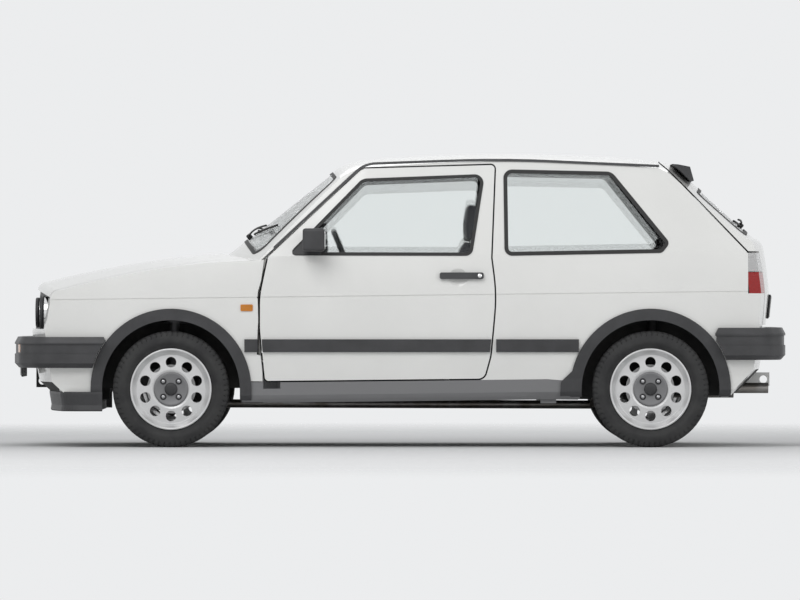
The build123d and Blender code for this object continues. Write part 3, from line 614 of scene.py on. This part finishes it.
# Wipers laid on the glass: name, node, body, sign of the glass's side,
# foot and tip as y and height over the glass's lower edge
WIPERS = [
    ("left", "windscreen", "body", -1, (-0.02, 0.015), (-0.52, 0.075)),
    ("right", "windscreen", "body", -1, (0.50, 0.045), (0.0, 0.05)),
    ("rear", "hatch_glass", "hatch", 1, (0.02, 0.02), (-0.36, 0.045)),
]
BEYOND_X = 3
EDGE_STEPS = 200
WIPER_STEPS = 8
ARM_END = 0.75
ARM_LIFT = 0.016
ARM_BOW = 0.012
ARM_RADIUS = 0.005
BLADE_START = 0.2
BLADE_LIFT = 0.006
BLADE_RADIUS = 0.0055
WIPER_PIVOT = [(0.014, -0.02), (0.014, 0.004), (0.011, 0.009), (0.001, 0.0095)]


def on_glass(node, side, y, z):
    """Point and normal of a glass seen along the car from its front or rear."""
    return on_surface(node, (BEYOND_X * side, y, z), (-side, 0, 0))


def glass_foot(node, side, y):
    """Height of the lower edge of a glass at a distance from the middle."""
    low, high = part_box(node)
    for step in range(EDGE_STEPS):
        height = low.z + (high.z - low.z) * step / EDGE_STEPS
        if on_glass(node, side, y, height)[0]:
            return height
    return low.z


def wiper(name, node, body, side, foot, tip):
    """An arm that stands off the glass and a rubber blade along it."""
    base = max(glass_foot(node, side, foot[0]), glass_foot(node, side, tip[0]))
    arm = []
    blade = []
    for i in range(WIPER_STEPS + 1):
        share = i / WIPER_STEPS
        y = foot[0] + (tip[0] - foot[0]) * share
        z = base + foot[1] + (tip[1] - foot[1]) * share
        point, normal = on_glass(node, side, y, z)
        if share <= ARM_END:
            arm.append(point + normal * (ARM_LIFT + ARM_BOW * math.sin(math.pi * share)))
        if share >= BLADE_START:
            blade.append(point + normal * BLADE_LIFT)
    tube(f"wiper_arm_{name}", arm, ARM_RADIUS, plastic, body)
    tube(f"wiper_blade_{name}", blade, BLADE_RADIUS, rubber, body, count=6)
    _, normal = on_glass(node, side, foot[0], base + foot[1])
    turned(f"wiper_pivot_{name}", WIPER_PIVOT, arm[0], normal, 24, plastic, body)


for row in WIPERS:
    wiper(*row)

# Fuel flap in the right rear quarter and the door locks, laid on the sides
BESIDE_Y = 1.2
PATCH_RINGS = 6
PATCH_POINTS = 48
PATCH_POWER = 0.35
PATCH_SINK = 0.002


def side_patch(name, node, side, centre, size, lift, look, body):
    """Rounded square patch of a few rings laid on a body side, with its rim sunk into it."""
    points = []
    for i in range(PATCH_RINGS):
        reach = size / 2 * (1 - i / PATCH_RINGS)
        for j in range(PATCH_POINTS):
            angle = FULL_TURN * j / PATCH_POINTS
            x = centre[0] - reach * squared(math.cos(angle), PATCH_POWER) * side
            z = centre[1] + reach * squared(math.sin(angle), PATCH_POWER)
            point, normal = on_surface(node, (x, BESIDE_Y * side, z), (0, -side, 0))
            points.append(point + normal * (lift if i else -PATCH_SINK))
    faces = ring_faces(PATCH_RINGS, PATCH_POINTS)
    faces.append(tuple(range((PATCH_RINGS - 1) * PATCH_POINTS, PATCH_RINGS * PATCH_POINTS)))
    return add_piece(name, points, faces, look, body)


FLAP_PLACE = (1.42, 0.86)
FLAP_SIZE = 0.15
FLAP_LIFT = 0.0014
SEAM_SIZE = 0.158
SEAM_LIFT = 0.0006
side_patch("fuel_flap_seam", "body_side_right", 1, FLAP_PLACE, SEAM_SIZE, SEAM_LIFT, rubber, "body")
side_patch("fuel_flap", "body_side_right", 1, FLAP_PLACE, FLAP_SIZE, FLAP_LIFT, paint, "body")
LOCK_X = 0.408
LOCK_Z = 0.878
DOOR_LOCK = [(0.011, -0.004), (0.011, 0.002), (0.009, 0.0035), (0.001, 0.0035)]
for side_name, side in SIDES:
    point, normal = on_surface(f"door_fittings_{side_name}", (LOCK_X, side * BESIDE_Y, LOCK_Z), (0, -side, 0))
    turned(f"door_lock_{side_name}", DOOR_LOCK, point, normal, 24, chrome, f"door_{side_name}")

# Front lip: a swept skin round the lower edge of the valance
LIP_SIDE_Y = 0.806
LIP_EDGE_Y = 0.70
LIP_BACK_X = -1.524
LIP_STRAIGHT_X = -1.577
LIP_CORNER_X = -1.63
LIP_FRONT_X = -1.822
LIP_CORNER_STEPS = 8
LIP_FRONT_STEPS = 14
# Rows of the lip's section: inward set, height
LIP_SECTION = [(0.0, 0.284), (0.0, 0.272), (0.004, 0.250), (0.010, 0.215), (0.006, 0.190), (0.010, 0.184),
               (0.030, 0.186), (0.028, 0.268)]


def lip_plan(inset):
    """Half plan of the lip from its back end to the middle, set inward."""
    side_y = LIP_SIDE_Y - inset
    front_x = LIP_FRONT_X + inset
    edge_x = bowed(front_x, LIP_EDGE_Y)
    points = [(LIP_BACK_X, side_y), (LIP_STRAIGHT_X, side_y)]
    for step in range(LIP_CORNER_STEPS + 1):
        angle = math.radians(90 * step / LIP_CORNER_STEPS)
        points.append((LIP_CORNER_X + (edge_x - LIP_CORNER_X) * math.sin(angle),
                       LIP_EDGE_Y + (side_y - LIP_EDGE_Y) * math.cos(angle)))
    for step in range(1, LIP_FRONT_STEPS + 1):
        y = LIP_EDGE_Y * (1 - step / LIP_FRONT_STEPS)
        points.append((bowed(front_x, y), y))
    return points


lip_rows = []
for inset, height in LIP_SECTION:
    half = lip_plan(inset)
    whole = half + [(x, -y) for x, y in half[-2::-1]]
    lip_rows.append([Vector((x, y, height)) for x, y in whole])
lip_points = [point for section in zip(*lip_rows) for point in section]
lip_faces = capped_faces(len(lip_rows[0]), len(lip_rows))
add_piece("front_lip", lip_points, lip_faces, trim, "body", smooth=False)

# Floor that fades into the pale surround
FLOOR_REACH = 40
FADE_START = 3.2
FADE_END = 9
floor_mesh = bpy.data.meshes.new("studio_floor")
floor_points = [(FLOOR_REACH * x, FLOOR_REACH * y, 0) for x, y in QUARTERS]
floor_mesh.from_pydata(floor_points, [], [(0, 1, 2, 3)])
floor = bpy.data.objects.new("studio_floor", floor_mesh)
bpy.context.collection.objects.link(floor)
floor_look = shader("studio_floor", (0.74, 0.745, 0.75), 0.85)
tree = floor_look.node_tree
place = tree.nodes.new("ShaderNodeTexCoord")
length = tree.nodes.new("ShaderNodeVectorMath")
length.operation = "LENGTH"
fade = tree.nodes.new("ShaderNodeMapRange")
fade.interpolation_type = "SMOOTHSTEP"
fade.inputs["From Min"].default_value = FADE_START
fade.inputs["From Max"].default_value = FADE_END
fade.inputs["To Min"].default_value = 1
fade.inputs["To Max"].default_value = 0
tree.links.new(place.outputs["Object"], length.inputs[0])
tree.links.new(length.outputs["Value"], fade.inputs["Value"])
tree.links.new(fade.outputs["Result"], tree.nodes["Principled BSDF"].inputs["Alpha"])
floor_mesh.materials.append(floor_look)

# Surround: brighter where it is seen or mirrored than where it only lights the car
SURROUND = (0.93, 0.94, 0.95)
WORLD_LIGHT = 0.5
WORLD_SEEN = 0.9
world = bpy.data.worlds.new("studio")
bpy.context.scene.world = world
world.use_nodes = True
tree = world.node_tree
light = tree.nodes["Background"]
seen = tree.nodes.new("ShaderNodeBackground")
for background, strength in ((light, WORLD_LIGHT), (seen, WORLD_SEEN)):
    background.inputs["Color"].default_value = (*SURROUND, 1)
    background.inputs["Strength"].default_value = strength
rays = tree.nodes.new("ShaderNodeLightPath")
either = tree.nodes.new("ShaderNodeMath")
either.operation = "MAXIMUM"
any_seen = tree.nodes.new("ShaderNodeMath")
any_seen.operation = "MAXIMUM"
tree.links.new(rays.outputs["Is Camera Ray"], either.inputs[0])
tree.links.new(rays.outputs["Is Glossy Ray"], either.inputs[1])
tree.links.new(either.outputs["Value"], any_seen.inputs[0])
tree.links.new(rays.outputs["Is Transmission Ray"], any_seen.inputs[1])
mix = tree.nodes.new("ShaderNodeMixShader")
tree.links.new(any_seen.outputs["Value"], mix.inputs[0])
tree.links.new(light.outputs["Background"], mix.inputs[1])
tree.links.new(seen.outputs["Background"], mix.inputs[2])
tree.links.new(mix.outputs["Shader"], tree.nodes["World Output"].inputs["Surface"])

# Studio lights: name, place, size, power
LIGHTS = [
    ("key", (-2.6, -6.0, 5.6), 4.5, 200),
    ("fill", (4.5, -5.0, 3.2), 4.0, 70),
    ("back", (0.5, 5.5, 5.0), 4.5, 70),
]
LIGHT_AIM = Vector((0, 0, 0.7))
for name, place, size, power in LIGHTS:
    lamp = bpy.data.lights.new(name, "AREA")
    lamp.size = size
    lamp.energy = power
    holder = bpy.data.objects.new(name, lamp)
    bpy.context.collection.objects.link(holder)
    holder.location = place
    holder.rotation_euler = (LIGHT_AIM - Vector(place)).to_track_quat("-Z", "Y").to_euler()

# Camera square to the left side; the view's width is measured at the plane of that side
VIEW_WIDTH = 4.098
VIEW_CENTRE = Vector((0, 0, 0.754))
SIDE_PLANE_Y = 0.75
FOCAL = 400
SENSOR_WIDTH = 36
CLIP_END = 400
camera = bpy.data.cameras.new("camera")
camera.lens = FOCAL
camera.sensor_width = SENSOR_WIDTH
camera.clip_end = CLIP_END
camera_holder = bpy.data.objects.new("camera", camera)
bpy.context.collection.objects.link(camera_holder)
camera_distance = VIEW_WIDTH * FOCAL / SENSOR_WIDTH
camera_holder.location = VIEW_CENTRE + Vector((0, -camera_distance - SIDE_PLANE_Y, 0))
camera_holder.rotation_euler = (math.radians(90), 0, 0)
scene = bpy.context.scene
scene.camera = camera_holder
scene.view_settings.view_transform = "Standard"
